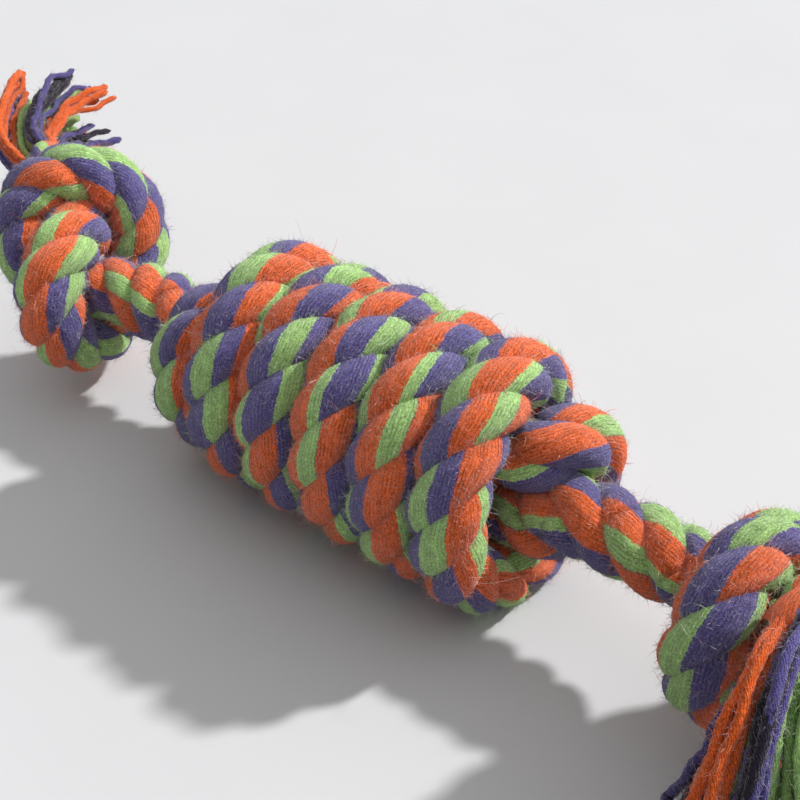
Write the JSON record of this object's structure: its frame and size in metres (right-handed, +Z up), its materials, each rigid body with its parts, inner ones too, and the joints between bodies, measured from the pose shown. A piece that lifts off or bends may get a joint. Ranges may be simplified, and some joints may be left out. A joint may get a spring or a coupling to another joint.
{
  "type": "rope dog toy",
  "caption": "Cotton rope dog tug toy: a fat wound barrel knot in the middle, an overhand knot at each end and frayed yarn tassels.",
  "frame": {"origin": "on the surface that the toy lies on, under the middle of its outer box", "axes": "+X along the toy to the right end, +Y to the back, +Z up"},
  "size_m": [0.3062, 0.1078, 0.0587],
  "materials": {
    "three_colour_rope": "matt three-strand laid rope; each strand shows orange, leaf green and purple yarns in stripes",
    "rope_core": "the same laid cotton rope, hidden inside the winding",
    "orange_yarn": "matt, soft spun cotton yarn with fine stray fibres",
    "green_yarn": "matt, soft spun cotton yarn with fine stray fibres",
    "purple_yarn": "matt, soft spun cotton yarn with fine stray fibres"
  },
  "bodies": {
    "barrel": {"barrel_winding": "three_colour_rope", "core_rope_to_right_end": "rope_core", "core_rope_to_left_end": "rope_core"},
    "right_neck_link": {"right_neck": "three_colour_rope"},
    "right_end_knot": {"right_knot": "three_colour_rope"},
    "right_tassel": {"right_tail": "three_colour_rope", "right_tassel_strand_1_orange": "orange_yarn", "right_tassel_strand_1_green": "green_yarn", "right_tassel_strand_1_purple": "purple_yarn", "right_tassel_strand_2_orange": "orange_yarn", "right_tassel_strand_2_green": "green_yarn", "right_tassel_strand_2_purple": "purple_yarn", "right_tassel_strand_3_orange": "orange_yarn", "right_tassel_strand_3_green": "green_yarn", "right_tassel_strand_3_purple": "purple_yarn"},
    "left_neck_link": {"left_neck": "three_colour_rope"},
    "left_end_knot": {"left_knot": "three_colour_rope"},
    "left_tassel": {"left_tail": "three_colour_rope", "left_tassel_strand_1_orange": "orange_yarn", "left_tassel_strand_1_green": "green_yarn", "left_tassel_strand_1_purple": "purple_yarn", "left_tassel_strand_2_orange": "orange_yarn", "left_tassel_strand_2_green": "green_yarn", "left_tassel_strand_2_purple": "purple_yarn", "left_tassel_strand_3_orange": "orange_yarn", "left_tassel_strand_3_green": "green_yarn", "left_tassel_strand_3_purple": "purple_yarn"}
  },
  "joints": [
    {"name": "right_neck_bends_sideways", "type": "hinge", "parent": "barrel", "child": "right_neck_link", "pos_m": [0.08141, 0.00289, 0.028], "axis": [0, 0, 1], "range_deg": [-25, 25], "deforming": ["right_neck"]},
    {"name": "right_neck_bends_up_and_down", "type": "hinge", "parent": "right_neck_link", "child": "right_end_knot", "pos_m": [0.09241, 0.00289, 0.028], "axis": [0, -1, 0], "range_deg": [-25, 25], "deforming": ["right_neck"]},
    {"name": "right_tassel_swings", "type": "hinge", "parent": "right_end_knot", "child": "right_tassel", "pos_m": [0.12913, -0.01261, 0.0448], "axis": [0, 0, 1], "range_deg": [-15, 30], "deforming": ["right_tail"]},
    {"name": "left_neck_bends_sideways", "type": "hinge", "parent": "barrel", "child": "left_neck_link", "pos_m": [-0.03659, 0.00289, 0.028], "axis": [0, 0, 1], "range_deg": [-25, 25], "deforming": ["left_neck"]},
    {"name": "left_neck_bends_up_and_down", "type": "hinge", "parent": "left_neck_link", "child": "left_end_knot", "pos_m": [-0.04759, 0.00289, 0.028], "axis": [0, 1, 0], "range_deg": [-25, 25], "deforming": ["left_neck"]},
    {"name": "left_tassel_swings", "type": "hinge", "parent": "left_end_knot", "child": "left_tassel", "pos_m": [-0.10621, 0.01809, 0.0416], "axis": [0, 0, 1], "range_deg": [-30, 30], "deforming": ["left_tail"]}
  ]
}
